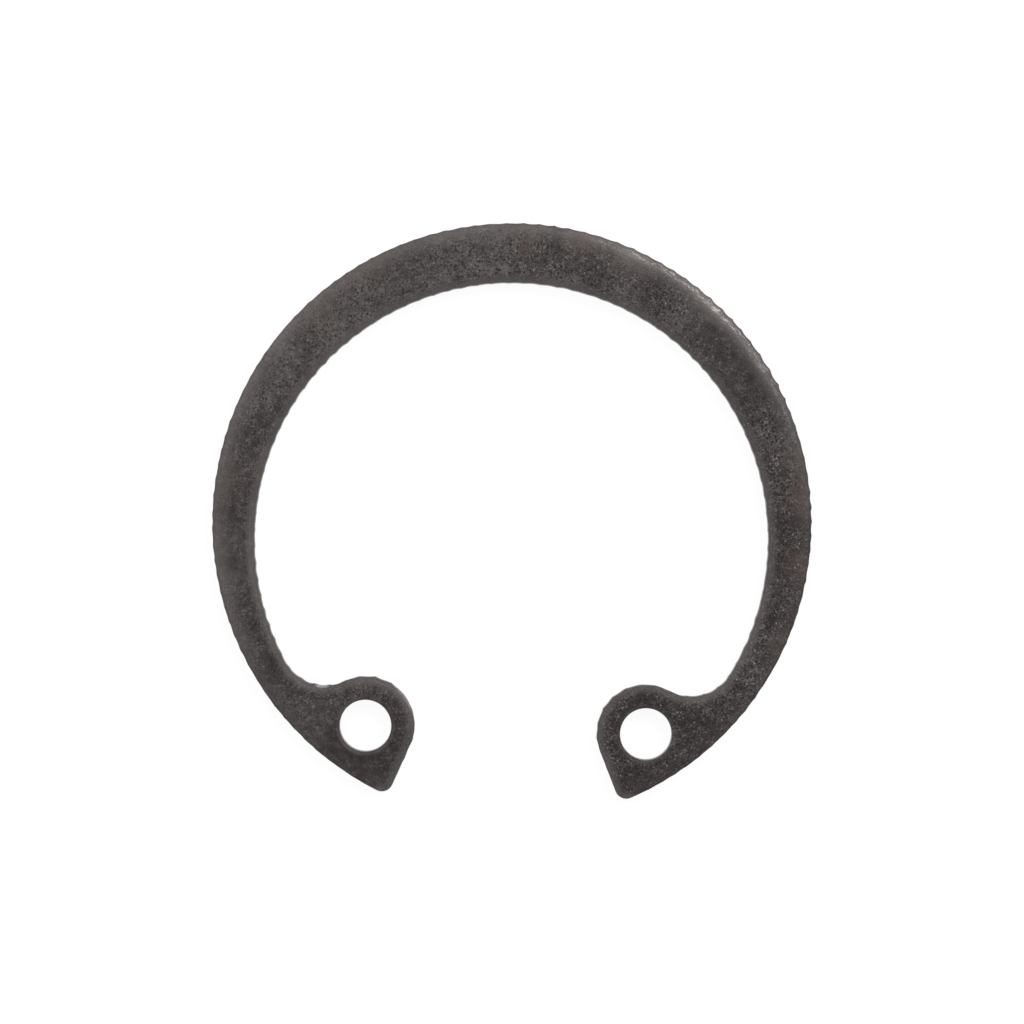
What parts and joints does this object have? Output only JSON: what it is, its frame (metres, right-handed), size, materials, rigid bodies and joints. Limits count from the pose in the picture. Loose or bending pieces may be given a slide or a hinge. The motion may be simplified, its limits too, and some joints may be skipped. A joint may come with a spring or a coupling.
{
  "type": "internal retaining ring",
  "caption": "Flat C-shaped spring steel retaining ring for a bore, with a tapered beam, an open gap and a lug with a plier hole at each end.",
  "frame": {"origin": "centre of the ring's outer circle, on the face that it lies on", "axes": "+Z along the ring's axis, up through the stamped strip; +Y towards the wide back of the beam, so the gap opens towards -Y; +X towards the right lug seen from above with the gap at the bottom"},
  "size_m": [0.0268, 0.0256, 0.0012],
  "materials": {
    "phosphated_steel": "matt dark grey-brown phosphate coat, faintly mottled, worn brighter in places along the outer edge"
  },
  "bodies": {
    "root": {"retaining_ring": "phosphated_steel"}
  },
  "joints": []
}
